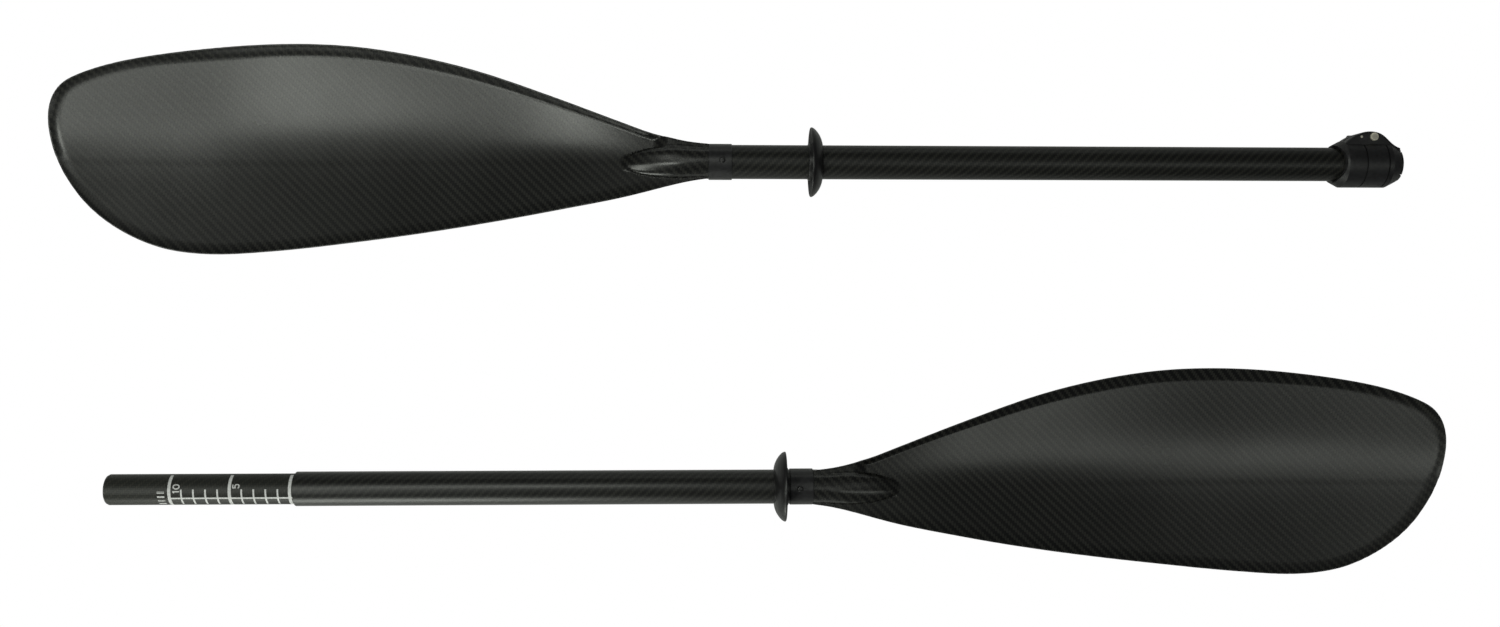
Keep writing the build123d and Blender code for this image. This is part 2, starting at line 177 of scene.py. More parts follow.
# Outline points as (distance from the neck's end, distance towards the leading edge).
LEADING = [(0, 14.7), (20, 17.2), (35, 20.6), (50, 24.7), (70, 32), (90, 39.5), (110, 47.1)]
LEADING += [(150, 61.7), (190, 75.4), (230, 86.3), (270, 94.3), (310, 99.4), (350, 101), (390, 99.9)]
LEADING += [(430, 96.4), (470, 91), (497, 85.8), (519, 79.7), (535, 73.5), (548, 66), (556.5, 55)]
TRAILING = [(559.5, 20), (553.5, 0), (542.5, -20), (526, -40), (507.5, -55), (485, -67.5), (462, -75.5)]
TRAILING += [(440, -79), (415, -79.9), (390, -78.6), (350, -75.1), (310, -70.5), (270, -65.5)]
TRAILING += [(230, -59.9), (190, -53.7), (150, -46.7), (110, -39.1), (70, -30.8), (50, -25.6)]
TRAILING += [(30, -20.3), (14, -16.8), (0, -14.7)]
TIP_POINT = (BLADE_LENGTH - 0.3, 36)
OUTLINE = spline(LEADING + [TIP_POINT] + TRAILING, 4001)
TIP = int(OUTLINE[:, 0].argmax())
TIP_D = OUTLINE[TIP, 0]


def edge_y(d, leading):
    """The outline's y on the leading or the trailing side."""
    branch = OUTLINE[: TIP + 1] if leading else OUTLINE[TIP:][::-1]
    return np.interp(d, branch[:, 0], branch[:, 1])


# Power face: a slope on each side of a soft bend, which lies BEND_AT from the shaft's line.
TRAILING_SLOPE, LEADING_SLOPE = 0.14, 0.13
BEND_AT, BEND_SOFTNESS = 22.0, 13.0
ROOT_TWIST, TRAILING_CURVE = 0.16, 0.0004
# The leading edge's wall, with a lip that levels out at the rim, and the trailing edge's curl.
WALL_HEIGHT, WALL_POWER, LIP = 6.6, 1.6, 1.8
CURL_HEIGHT, CURL_WIDTH = 1.6, 10.0
# The dish fades and the wall drops away towards the tip.
TIP_STARTS, DISH_FADE_STARTS = 390.0, 400.0
# Height of the face along the blade, as (distance from the neck's end, height).
SAG = [(-40, 5), (0, 4), (60, 2.3), (120, -1.8), (200, -9.5), (280, -17.2), (345, -21.5)]
SAG = spline(SAG + [(405, -22.5), (460, -19), (510, -14), (570, -7)], 4001)
RIM_R, RIM_THICKNESS, MIDDLE_THICKNESS, SKIN = 1.2, 2.4, 6.0, 1.2
# The shaft's end runs out into the face as a nose, and into the back as a rib.
NOSE_LENGTH, NOSE_SHIFT, RIB_LENGTH, RIB_DROP = 73.0, 1.5, 190.0, 8.0


def spread_width(d, leading):
    """The half width that the camber is scaled to; unlike the outline it stays wide at the tip."""
    if leading:
        grow = np.sin(np.pi / 2 * np.minimum(d / 345.0, 1.0)) ** 1.5
        shrink = 22.0 * (np.maximum(d - 345.0, 0.0) / 200.0) ** 2
        return 15.0 + 85.0 * grow - shrink
    return 15.0 + 63.0 * np.sin(np.pi / 2 * np.minimum(d / 400.0, 1.0)) ** 1.1


def across(d, y):
    """Where y lies between the middle (0) and the edge (1), on either side."""
    return np.where(y > 0, y / spread_width(d, True), -y / spread_width(d, False))


def face_height(d, y, to_edge):
    """Power face: sags behind the shaft, twists, scoops up to a wall on the leading side."""
    z = np.interp(d, SAG[:, 0], SAG[:, 1])
    z = z - ROOT_TWIST * (1.0 - smooth((d - 40.0) / 330.0)) * y
    fade = 1.0 - 0.2 * smooth((d - DISH_FADE_STARTS) / 150.0)
    scale = spread_width(d, True) / 100.0
    bend = BEND_SOFTNESS * np.log(1.0 + np.exp((y / scale - BEND_AT) / BEND_SOFTNESS)) * scale
    dish = (TRAILING_SLOPE + LEADING_SLOPE) * bend - TRAILING_SLOPE * y
    dish = dish + TRAILING_CURVE * np.minimum(y, 0.0) ** 2
    at_tip = smooth((d - TIP_STARTS) / 130.0)
    wall_width = (6.0 + 5.0 * smooth((d - 60.0) / 200.0)) * (1.0 - 0.3 * at_tip)
    wall = np.clip(1.0 - np.hypot(to_edge, LIP) / wall_width, 0.0, 1.0) ** WALL_POWER
    # Beside the neck the ground is raised to the wall's height all the way in.
    filled = 1.0 - smooth((d - 34.0) / 14.0)
    wall = WALL_HEIGHT * np.maximum(wall, filled) * smooth(y / 8.0) * (1.0 - 0.85 * at_tip)
    curl = CURL_HEIGHT * np.clip(1.0 - to_edge / CURL_WIDTH, 0.0, 1.0) ** 2
    curl = curl * smooth((d - 20.0) / 60.0)
    curl = curl * (1.0 - smooth(y / 20.0) * (1.0 - at_tip))
    return z + fade * dish * smooth(d / 160.0) + wall + curl


def blade_thickness(d, y, to_edge):
    """Thin at the rim, and thicker along the middle of the blade's root."""
    middle = MIDDLE_THICKNESS * (1.0 - 0.6 * smooth((d - 150.0) / 350.0))
    bulge = np.maximum(1.0 - across(d, y) ** 2, 0.0) ** 2
    return RIM_THICKNESS + middle * bulge * smooth(to_edge / 14.0)


def ridge(y, half_width, height, power=2.0):
    """Height of a ridge above its foot, and far below the foot outside it. A power of 2 is an ellipse,
    and a higher one has a flatter top and steeper sides."""
    inside = 1.0 - np.abs(y / np.maximum(half_width, 1e-6)) ** power
    return np.where(inside > 0, height * np.maximum(inside, 0.0) ** (1.0 / power), -90.0)


def soft_max(a, b, k):
    """The larger of a and b, with the crease between them rounded over a height of about k."""
    return (a + b + np.sqrt((a - b) ** 2 + k * k)) / 2


def blade_surfaces(d, y, to_edge):
    """Heights of the power face and of the back, with the neck grown into both."""
    shaft = SHAFT_R / MM
    face = face_height(d, y, to_edge)
    thick = blade_thickness(d, y, to_edge)
    round_off = np.sqrt(1.0 - (1.0 - np.clip(to_edge / RIM_R, 0.0, 1.0)) ** 2)
    middle = face - thick / 2
    top = middle + thick / 2 * round_off
    bottom = middle - thick / 2 * round_off
    along = np.clip(d / NOSE_LENGTH, 0.0, 1.0)
    nose_width = shaft * (1.0 - along**2.8) ** 0.4545
    nose_height = shaft * (1.0 - along**2.4) ** 0.62
    nose = ridge(y + NOSE_SHIFT * along, nose_width, nose_height, 2.0 + smooth(1.3 * along))
    rib_fade = np.clip(1.0 - d / RIB_LENGTH, 0.0, 1.0)
    rib_width = shaft * rib_fade**0.5
    rib_drop = RIB_DROP * smooth(d / 150.0)
    rib = ridge(y, rib_width, shaft * rib_fade**0.6) + rib_drop
    joint = smooth(d / 30.0) * smooth(to_edge / 8.0)
    top = soft_max(top, nose, (2.5 + 3.5 * smooth(0.5 - y / 8.0)) * joint + 0.02)
    bottom = -soft_max(-bottom, rib, 8.0 * joint + 0.02)
    return top, bottom


def blade_grid(rows=230, columns=185):
    """(d, y, distance to the rim) over a grid that is finest along the rim."""
    s = np.linspace(0, 1, rows)
    d = TIP_D * (1 - np.cos(np.pi * s)) / 2
    lead, trail = edge_y(d, True), edge_y(d, False)
    t = np.cos(np.pi * np.linspace(0, 1, columns))
    y = (lead + trail)[:, None] / 2 + (lead - trail)[:, None] / 2 * t
    dd = np.repeat(d[:, None], columns, axis=1)
    rim = OUTLINE[::2]
    flat = np.stack([dd.ravel(), y.ravel()], axis=1)
    nearest = np.empty(len(flat))
    for i in range(0, len(flat), 2000):
        gap = flat[i : i + 2000, None, :] - rim[None, :, :]
        nearest[i : i + 2000] = np.sqrt((gap**2).sum(2).min(1))
    to_edge = nearest.reshape(dd.shape)
    to_edge[:, 0] = 0
    to_edge[:, -1] = 0
    to_edge[-1, :] = 0
    return dd, y, to_edge


GRID = blade_grid()


def blade_shell(name, face, neck_x, way, axis_y, body):
    """One closed skin of a blade, which meets the other skin along the rim."""
    d, y, to_edge = GRID
    top, bottom = blade_surfaces(d, y, to_edge)
    middle = (top + bottom) / 2
    seam = 0.01
    if face:
        outer, inner = top, np.maximum(top - SKIN, middle + seam)
    else:
        outer, inner = bottom, np.minimum(bottom + SKIN, middle - seam)
    inner[:, 0], inner[:, -1], inner[-1, :] = outer[:, 0], outer[:, -1], outer[-1, :]
    x = neck_x + way * d * MM
    yy = axis_y + y * MM
    sheets = [np.stack([x, yy, z * MM], axis=2).reshape(-1, 3) for z in (outer, inner)]
    index, faces = two_sheets(*d.shape)
    far = index.size
    root = [(k, k + far, k + far + 1, k + 1) for k in index[0, :-1].tolist()]
    obj = new_object(name, np.concatenate(sheets), faces + root)
    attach(obj, body)
    return sharpen(obj, 50)


def foam_core(name, neck_x, way, axis_y, body):
    """The blade's foam core, half a millimetre inside both skins."""
    rows, columns = 90, 40
    d = np.repeat(np.linspace(66.0, 500.0, rows)[:, None], columns, axis=1)
    across_it = np.linspace(-0.5, 0.5, columns)[None, :]
    y = across_it * np.where(across_it > 0, spread_width(d, True), spread_width(d, False))
    far_from_rim = np.full(d.shape, 40.0)
    under_face = SKIN + 0.5
    top = face_height(d, y, far_from_rim) - under_face
    bottom = face_height(d, y, far_from_rim) - blade_thickness(d, y, far_from_rim) + under_face
    x = neck_x + way * d * MM
    sheets = [np.stack([x, axis_y + y * MM, z * MM], axis=2).reshape(-1, 3) for z in (top, bottom)]
    index, faces = two_sheets(rows, columns)
    far = index.size
    rim = np.concatenate([index[0], index[1:, -1], index[-1, -2::-1], index[-2:0:-1, 0]])
    wall = [(p, q, q + far, p + far) for p, q in zip(rim, np.roll(rim, -1))]
    obj = new_object(name, np.concatenate(sheets), faces + wall)
    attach(obj, body)
    return sharpen(obj, 50)


# ---------------------------------------------------------------- snap springs
# Millimetres from the button's axis, and height above the shaft's axis.
SPRING_SHEET, SPRING_BEVEL = 0.6, 0.12
BOW_X, BOW_Z, BOW_R = 26.0, -0.5, 3.5
SPRING_FOOT = (-3.0, -9.6)


def snap_spring(name, half, away, axis_y):
    """A bent steel strip, its upper leaf under the button and its foot on the shaft."""
    low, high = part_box(half + "_snap_spring")
    button_low, button_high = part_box(half + "_snap_button")
    button_x = (button_low.x + button_high.x) / 2
    sheet, bevel, width = SPRING_SHEET, SPRING_BEVEL, (high.y - low.y) / MM
    top_z = high.z / MM - sheet / 2
    bow = [-math.pi / 2 + math.pi * k / 12 for k in range(12, -1, -1)]
    line = [(-5.0, top_z), (5.0, top_z), (7.0, top_z - 0.15)]
    line += [(BOW_X + BOW_R * math.cos(a), BOW_Z + BOW_R * math.sin(a)) for a in bow]
    line = fine_steps(line + [SPRING_FOOT], 1.0)
    section = [(-width / 2, sheet / 2 - bevel), (bevel - width / 2, sheet / 2)]
    section += [(-a, b) for a, b in section[::-1]]
    section += [(a, -b) for a, b in section[::-1]]
    verts, faces = [], []
    for i, here in enumerate(line):
        ahead = line[min(i + 1, len(line) - 1)] - line[max(i - 1, 0)]
        normal = np.array([-ahead[1], ahead[0]]) / np.linalg.norm(ahead)
        for y, out in section:
            x, z = here + normal * out
            verts.append((button_x + away * x * MM, axis_y + y * MM, z * MM))
    count = len(section)
    for i in range(len(line) - 1):
        for k in range(count):
            n = (k + 1) % count
            faces.append((i * count + k, i * count + n, (i + 1) * count + n, (i + 1) * count + k))
    faces += [tuple(range(count)), tuple(range(len(verts) - count, len(verts)))]
    strip = sharpen(new_object(name, verts, faces), 30)
    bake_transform(strip)
    return strip


# ---------------------------------------------------------------- print on the ferrule
# How far round the tube the scale's spine lies from straight up, towards -Y.
SPINE_ANGLE = math.radians(29)


def ring_stroke(x, y, half_x, half_y, steps=24):
    """A closed oval of stroke points."""
    angles = [2 * math.pi * k / steps for k in range(steps + 1)]
    return [(x + half_x * math.cos(a), y + half_y * math.sin(a)) for a in angles]


def print_strokes(name, strokes, raised=0.03):
    """Ink strokes laid round the ferrule. Each stroke is (points, width): a point is how far it lies
    left of the shoulder and how far it lies round the tube from the spine, towards +Y."""
    radius = FERRULE_R / MM
    verts, faces = [], []
    for points, width in strokes:
        line = fine_steps(points)
        first = len(verts)
        for i, here in enumerate(line):
            ahead = line[min(i + 1, len(line) - 1)] - line[max(i - 1, 0)]
            ahead = ahead / np.linalg.norm(ahead)
            side = np.array([-ahead[1], ahead[0]]) * width / 2
            for spot in (here - side, here + side):
                angle = SPINE_ANGLE - spot[1] / radius
                for r in (radius - 0.03, radius + raised):
                    x = SHOULDER_X - spot[0] * MM
                    verts.append((x, INNER_Y - r * math.sin(angle) * MM, r * math.cos(angle) * MM))
        for i in range(len(line) - 1):
            a = first + 4 * i
            faces += [(a + p, a + q, a + q + 4, a + p + 4) for p, q in ((0, 1), (1, 3), (3, 2), (2, 0))]
        last = first + 4 * (len(line) - 1)
        faces += [(first, first + 2, first + 3, first + 1), (last, last + 1, last + 3, last + 2)]
    obj = new_object(name, verts, faces, smooth=False)
    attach(obj, "inner_half")
    return obj


def scale_strokes():
    """A centimetre scale: a spine, a ring at 0, 5 and 10, ticks between, and the two numbers."""
    reach = math.radians(100) * FERRULE_R / MM
    tick = math.radians(35) * FERRULE_R / MM
    # The ring at 0 lies this far left of the shoulder, and low and high are a number's foot and head.
    zero = 2.5
    strokes = [([(0, 0), (zero + 100, 0)], 1.7)]
    strokes += [([(x, -reach), (x, reach)], 2.6) for x in (zero, zero + 50, zero + 100)]
    strokes += [([(zero + x, -tick), (zero + x, tick)], 1.4) for x in range(10, 100, 10) if x != 50]
    low, high = zero + 91.4, zero + 96.8
    strokes += [([(low, 6.2), (high, 6.2), (high - 1.2, 5.0)], 1.0)]
    strokes += [(ring_stroke((low + high) / 2, 10.3, 2.5, 1.8), 1.0)]
    low, high = zero + 42.0, zero + 47.2
    # The figure 5, from its flag round to the end of its bowl.
    five = [(high, 12.0), (high, 9.2), (high - 2.2, 9.2), (high - 1.7, 10.7), (high - 2.4, 11.9)]
    five += [(low + 1.0, 12.1), (low, 11.0), (low + 0.2, 9.7), (low + 1.0, 8.9)]
    strokes += [(five, 1.0)]
    strokes += [([(zero + 104, y), (zero + 110, y)], 1.5) for y in (-6.5, -2.5, 1.5, 5.5)]
    return strokes


# ---------------------------------------------------------------- material helpers
def start_material(name):
    """A material with one Principled shader; returns (material, tree, shader)."""
    mat = bpy.data.materials.new(name)
    mat.use_nodes = True
    tree = mat.node_tree
    return mat, tree, tree.nodes["Principled BSDF"]


def put(tree, kind, settings=None, **inputs):
    """A node with its settings, and inputs given by name, as a value or a socket."""
    node = tree.nodes.new(kind)
    for key, value in (settings or {}).items():
        setattr(node, key, value)
    for key, value in inputs.items():
        socket = node.inputs[int(key[1:])] if key[0] == "i" and key[1:].isdigit() else node.inputs[key]
        feed(tree, socket, value)
    return node


def feed(tree, socket, value):
    """Links a node's output to an input, or sets the input's value."""
    if isinstance(value, bpy.types.NodeSocket):
        tree.links.new(value, socket)
    else:
        socket.default_value = value


def maths(tree, operation, a, b=0.0, c=0.0):
    return put(tree, "ShaderNodeMath", {"operation": operation}, i0=a, i1=b, i2=c).outputs[0]


def mix_colour(tree, factor, a, b):
    node = tree.nodes.new("ShaderNodeMix")
    node.data_type = "RGBA"
    feed(tree, node.inputs[0], factor)
    feed(tree, node.inputs[6], a)
    feed(tree, node.inputs[7], b)
    return node.outputs[2]


def ramp(tree, value, low, high, out_low=0.0, out_high=1.0):
    node = put(tree, "ShaderNodeMapRange", {"clamp": True}, Value=value)
    for key, number in zip(("From Min", "From Max", "To Min", "To Max"), (low, high, out_low, out_high)):
        node.inputs[key].default_value = number
    return node.outputs[0]


def place(tree):
    """The point being shaded, in the CAD frame at rest."""
    return tree.nodes.new("ShaderNodeTexCoord").outputs["Object"]


def noise(tree, where, scale, detail=3.0, roughness=0.55):
    inputs = {"Vector": where, "Scale": scale, "Detail": detail, "Roughness": roughness}
    return put(tree, "ShaderNodeTexNoise", {}, **inputs).outputs[0]


def stretched(tree, where, scale):
    return put(tree, "ShaderNodeMapping", {}, Vector=where, Scale=scale).outputs[0]


def grey(level, tint=(1.0, 1.0, 1.0)):
    return (level * tint[0], level * tint[1], level * tint[2], 1.0)


def twill(tree, u, v, slant):
    """A 2x2 twill of tows one unit wide. Returns (which way the top tow runs, height)."""
    col, row = maths(tree, "FLOOR", u), maths(tree, "FLOOR", v)
    side = maths(tree, "ADD", col, row) if slant > 0 else maths(tree, "SUBTRACT", col, row)
    phase = maths(tree, "FLOORED_MODULO", side, 4.0)
    warp = maths(tree, "LESS_THAN", phase, 1.5)
    across_u = maths(tree, "SUBTRACT", u, col)
    across_v = maths(tree, "SUBTRACT", v, row)
    if slant > 0:
        along_v = maths(tree, "FLOORED_MODULO", maths(tree, "ADD", v, col), 4.0)
        along_u = maths(tree, "FLOORED_MODULO", maths(tree, "ADD", u, row), 4.0)
        along_u = maths(tree, "SUBTRACT", along_u, 2.0)
    else:
        along_v = maths(tree, "FLOORED_MODULO", maths(tree, "SUBTRACT", v, col), 4.0)
        along_v = maths(tree, "SUBTRACT", along_v, 3.0)
        along_v = maths(tree, "FLOORED_MODULO", along_v, 4.0)
        along_u = maths(tree, "FLOORED_MODULO", maths(tree, "SUBTRACT", u, row), 4.0)
        along_u = maths(tree, "SUBTRACT", along_u, 2.0)
    across = mix_value(tree, warp, across_v, across_u)
    along = mix_value(tree, warp, along_u, along_v)
    rounding = maths(tree, "SINE", maths(tree, "MULTIPLY", across, math.pi))
    arch = maths(tree, "SINE", maths(tree, "MULTIPLY", along, math.pi / 2))
    arch = maths(tree, "MAXIMUM", arch, 0.0)
    height = maths(tree, "POWER", maths(tree, "MAXIMUM", rounding, 0.0), 0.6)
    height = maths(tree, "MULTIPLY", height, maths(tree, "POWER", arch, 0.5))
    return warp, height


def mix_value(tree, factor, a, b):
    node = tree.nodes.new("ShaderNodeMix")
    node.data_type = "FLOAT"
    feed(tree, node.inputs[0], factor)
    feed(tree, node.inputs[2], a)
    feed(tree, node.inputs[3], b)
    return node.outputs[0]


def bump(tree, height, distance, strength=1.0, normal=None):
    inputs = {"Height": height, "Distance": distance, "Strength": strength}
    if normal is not None:
        inputs["Normal"] = normal
    return put(tree, "ShaderNodeBump", {}, **inputs).outputs[0]


def carbon(u, v, tree, shader, where, slant, tow, tow_tone_and_sheen, rough, coat, coat_rough):
    """Feeds a Principled shader with woven carbon under a clear coat."""
    warp, height = twill(tree, maths(tree, "DIVIDE", u, tow), maths(tree, "DIVIDE", v, tow), slant)
    fibres = noise(tree, stretched(tree, where, (900.0, 900.0, 900.0)), 1.0, 2.0)
    blotch = noise(tree, where, 9.0, 3.0)
    # Painted sheen: the carbon's own dark tone, with warp and weft tows set to different levels so that
    # one runs brighter, standing in for the fibres' sideways reflection of the lamps.
    level = mix_value(tree, warp, tow_tone_and_sheen[0], tow_tone_and_sheen[1])
    # Painted shade: the low parts of the weave, at the tows' sides and where they dive under, are
    # darkened to as little as 0.35 of the level.
    level = maths(tree, "MULTIPLY", level, ramp(tree, height, 0.0, 0.7, 0.35, 1.0))
    level = maths(tree, "MULTIPLY", level, ramp(tree, fibres, 0.3, 0.7, 0.8, 1.2))
    level = maths(tree, "MULTIPLY", level, ramp(tree, blotch, 0.3, 0.7, 0.85, 1.15))
    tint = mix_colour(tree, warp, (0.95, 1.0, 0.86, 1.0), (1.0, 1.0, 0.84, 1.0))
    scaled = put(tree, "ShaderNodeVectorMath", {"operation": "SCALE"}, i0=tint, Scale=level)
    tree.links.new(scaled.outputs[0], shader.inputs["Base Color"])
    scuffs = noise(tree, stretched(tree, where, (40.0, 220.0, 60.0)), 1.0, 5.0, 0.7)
    roughness = mix_value(tree, warp, rough, rough * 1.15)
    roughness = maths(tree, "ADD", roughness, ramp(tree, scuffs, 0.55, 0.8, 0.0, 0.12))
    feed(tree, shader.inputs["Roughness"], roughness)
    feed(tree, shader.inputs["Normal"], bump(tree, height, 0.00012, 0.6))
    feed(tree, shader.inputs["Specular IOR Level"], 0.1)
    feed(tree, shader.inputs["Coat Weight"], coat)
    smudge = ramp(tree, noise(tree, where, 25.0, 4.0), 0.35, 0.75, coat_rough, coat_rough + 0.03)
    feed(tree, shader.inputs["Coat Roughness"], smudge)
    ripple = bump(tree, noise(tree, where, 400.0, 2.0), 0.00002, 0.5)
    feed(tree, shader.inputs["Coat Normal"], ripple)


def blade_carbon():
    """Woven carbon laid flat on a blade, under a glossy clear coat."""
    mat, tree, shader = start_material("carbon_blade")
    where = place(tree)
    turned = put(tree, "ShaderNodeMapping", {}, Vector=where, Rotation=(0, 0, math.radians(-1)))
    axes = put(tree, "ShaderNodeSeparateXYZ", {}, Vector=turned.outputs[0])
    # The two levels are the carbon's dark tone plus a painted sheen that sets warp and weft tows apart.
    carbon(axes.outputs[0], axes.outputs[1], tree, shader, where, slant=1, tow=2.0 * MM,
           tow_tone_and_sheen=(0.004, 0.022), rough=0.5, coat=1.0, coat_rough=0.25)
    return mat


def shaft_carbon(name, axis_y, radius, tow_tone_and_sheen, rough, coat, coat_rough, tow=1.75 * MM):
    """Woven carbon wrapped round a shaft."""
    mat, tree, shader = start_material(name)
    where = place(tree)
    axes = put(tree, "ShaderNodeSeparateXYZ", {}, Vector=where)
    y = maths(tree, "SUBTRACT", axes.outputs[1], axis_y)
    angle = maths(tree, "ARCTAN2", y, axes.outputs[2])
    around = maths(tree, "MULTIPLY", angle, radius)
    carbon(axes.outputs[0], around, tree, shader, where, -1, tow, tow_tone_and_sheen, rough, coat, coat_rough)
    return mat


def moulded(name, level, rough, grain=900.0, depth=0.00004, tint=(1.0, 0.98, 1.06)):
    """Moulded plastic or rubber with a fine grain, soft sheen changes and paler worn edges."""
    mat, tree, shader = start_material(name)
    where = place(tree)
    cloud = noise(tree, where, 45.0, 4.0)
    fine = noise(tree, where, grain, 4.0, 0.7)
    edge = tree.nodes.new("ShaderNodeNewGeometry").outputs["Pointiness"]
    worn = ramp(tree, edge, 0.52, 0.62)
    worn = maths(tree, "MULTIPLY", worn, ramp(tree, noise(tree, where, 300.0, 5.0), 0.35, 0.65))
    dark, light = grey(level * 0.8, tint), grey(level * 1.2, tint)
    base = mix_colour(tree, ramp(tree, cloud, 0.3, 0.7), dark, light)
    feed(tree, shader.inputs["Base Color"], mix_colour(tree, worn, base, grey(level * 3.0, tint)))
    rough_map = ramp(tree, cloud, 0.3, 0.7, rough - 0.05, rough + 0.08)
    speckle = ramp(tree, fine, 0.3, 0.7, -0.04, 0.04)
    feed(tree, shader.inputs["Roughness"], maths(tree, "ADD", rough_map, speckle))
    feed(tree, shader.inputs["Normal"], bump(tree, fine, depth, 0.5))
    return mat


def metal(name, colour, rough, along=(30.0, 900.0, 900.0), metallic=1.0):
    """Turned or drawn metal with fine lines along one direction."""
    mat, tree, shader = start_material(name)
    where = place(tree)
    lines = noise(tree, stretched(tree, where, along), 1.0, 3.0)
    tarnish = noise(tree, where, 160.0, 3.0)
    dull = tuple(c * 0.72 for c in colour[:3]) + (1.0,)
    base = mix_colour(tree, ramp(tree, tarnish, 0.4, 0.7), colour, dull)
    feed(tree, shader.inputs["Base Color"], base)
    feed(tree, shader.inputs["Metallic"], metallic)
    feed(tree, shader.inputs["Roughness"], ramp(tree, lines, 0.3, 0.7, rough * 0.7, rough * 1.3))
    feed(tree, shader.inputs["Normal"], bump(tree, lines, 0.00002, 0.5))
    return mat


def foam():
    """Pale closed-cell foam."""
    mat, tree, shader = start_material("closed_cell_foam")
    where = place(tree)
    cells = put(tree, "ShaderNodeTexVoronoi", {}, Vector=where, Scale=900.0).outputs["Distance"]
    # Painted shade: each cell's pit is darker, growing paler towards the cell walls.
    shade, light = grey(0.45, (1, 0.95, 0.8)), grey(0.72, (1, 0.97, 0.86))
    pale = mix_colour(tree, ramp(tree, cells, 0.0, 0.7), shade, light)
    feed(tree, shader.inputs["Base Color"], pale)
    feed(tree, shader.inputs["Roughness"], ramp(tree, cells, 0.0, 1.0, 0.75, 0.95))
    feed(tree, shader.inputs["Normal"], bump(tree, cells, 0.0003, 0.6))
    return mat


def print_ink():
    """White print, a little uneven and rubbed."""
    mat, tree, shader = start_material("print_white")
    where = place(tree)
    rub = ramp(tree, noise(tree, where, 700.0, 5.0, 0.7), 0.25, 0.55)
    feed(tree, shader.inputs["Base Color"], mix_colour(tree, rub, grey(0.42), grey(0.8)))
    feed(tree, shader.inputs["Roughness"], ramp(tree, rub, 0.0, 1.0, 0.6, 0.4))
    feed(tree, shader.inputs["Normal"], bump(tree, rub, 0.00001, 0.4))
    return mat


def pale_floor():
    """Plain white. The camera sees it evenly lit; the paddle sees an ordinary matt floor."""
    mat, tree, shader = start_material("floor_white")
    feed(tree, shader.inputs["Base Color"], grey(0.85))
    feed(tree, shader.inputs["Roughness"], 0.9)
    glow = put(tree, "ShaderNodeEmission", {}, Color=grey(1.0), Strength=1.0)
    seen = tree.nodes.new("ShaderNodeLightPath").outputs["Is Camera Ray"]
    mixer = put(tree, "ShaderNodeMixShader", {}, i0=seen, i1=shader.outputs[0], i2=glow.outputs[0])
    tree.links.new(mixer.outputs[0], tree.nodes["Material Output"].inputs["Surface"])
    return mat


def dress(obj, mat):
    """Gives a new piece its material."""
    obj.data.materials.clear()
    obj.data.materials.append(mat)
    return obj


# ---------------------------------------------------------------- materials
MAT_BLADE = blade_carbon()
# Each tube's two levels are the carbon's dark tone plus a painted sheen that sets warp and weft tows
# apart.
MAT_OUTER_SHAFT = shaft_carbon("carbon_outer_shaft", 0.0, SHAFT_R, (0.006, 0.022), 0.4, 0.6, 0.38)
MAT_INNER_SHAFT = shaft_carbon("carbon_inner_shaft", INNER_Y, SHAFT_R, (0.006, 0.022), 0.4, 0.8, 0.34)
MAT_FERRULE = shaft_carbon("carbon_ferrule", INNER_Y, FERRULE_R, (0.024, 0.032), 0.5, 0.4, 0.4)
MAT_CLAMP = moulded("clamp_nylon", 0.010, 0.42)
MAT_COLLAR = moulded("collar_black", 0.010, 0.34, grain=1400.0, depth=0.00002)
MAT_RUBBER = moulded("ring_rubber", 0.008, 0.36, grain=700.0, tint=(1.0, 1.0, 1.04))
MAT_STEEL = metal("stainless", (0.62, 0.61, 0.6, 1.0), 0.3)
MAT_NUT = metal("nut_brass", (0.95, 0.9, 0.74, 1.0), 0.4, (700.0, 700.0, 60.0), 0.2)
MAT_BOLT = metal("bolt_zinc", (0.72, 0.68, 0.58, 1.0), 0.42, (700.0, 700.0, 60.0), 0.3)
MAT_FOAM = foam()
MAT_PRINT = print_ink()

# ---------------------------------------------------------------- blades
for half, neck_x, way, axis_y in (
    ("outer", OUTER_NECK_X, -1, 0.0),
    ("inner", INNER_NECK_X, 1, INNER_Y),
):
    body = half + "_half"
    face = blade_shell(half + "_blade_face", True, neck_x, way, axis_y, body)
    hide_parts(half + "_blade_face_skin", half + "_blade_neck")
    dress(face, MAT_BLADE)
    back = blade_shell(half + "_blade_back", False, neck_x, way, axis_y, body)
    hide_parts(half + "_blade_back_skin")
    dress(back, MAT_BLADE)
    core = foam_core(half + "_blade_foam", neck_x, way, axis_y, body)
    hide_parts(half + "_blade_core")
    dress(core, MAT_FOAM)

# ---------------------------------------------------------------- drip rings
# A cup's section, as (distance from its hub's end, radius).
OUTER_RING_SHIFT = 3.0 * MM
CUP = [(0.0, 14.65), (0.0, 15.6), (0.2, 17.4), (1.0, 20.2), (2.6, 23.6), (4.8, 26.7), (7.0, 28.9)]
CUP += [(8.6, 29.8), (9.5, 29.95), (10.2, 29.6), (10.3, 28.9), (9.4, 27.9), (8.0, 26.2), (6.4, 23.4)]
CUP += [(5.2, 20.2), (4.7, 17.6), (5.4, 16.4), (11.6, 16.2), (12.2, 15.7), (12.2, 14.65)]
for half, way, axis_y in (("outer", -1, 0.0), ("inner", 1, INNER_Y)):
    low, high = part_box(half + "_drip_ring")
    hub_x = high.x - OUTER_RING_SHIFT if way < 0 else low.x
    outline = [(hub_x + way * x * MM, r * MM) for x, r in rounded(CUP, 0.8, 3)]
    ring = revolve(half + "_ring_cup", outline, axis_y)
    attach(ring, half + "_ring")
    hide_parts(half + "_drip_ring")
    dress(ring, MAT_RUBBER)

# ---------------------------------------------------------------- snap springs
for half, away, axis_y in (("outer", 1, 0.0), ("inner", -1, INNER_Y)):
    strip = snap_spring(half + "_spring_strip", half, away, axis_y)
    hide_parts(half + "_snap_spring")
    dress(strip, MAT_STEEL)

# ---------------------------------------------------------------- print
dress(print_strokes("ferrule_print", scale_strokes()), MAT_PRINT)

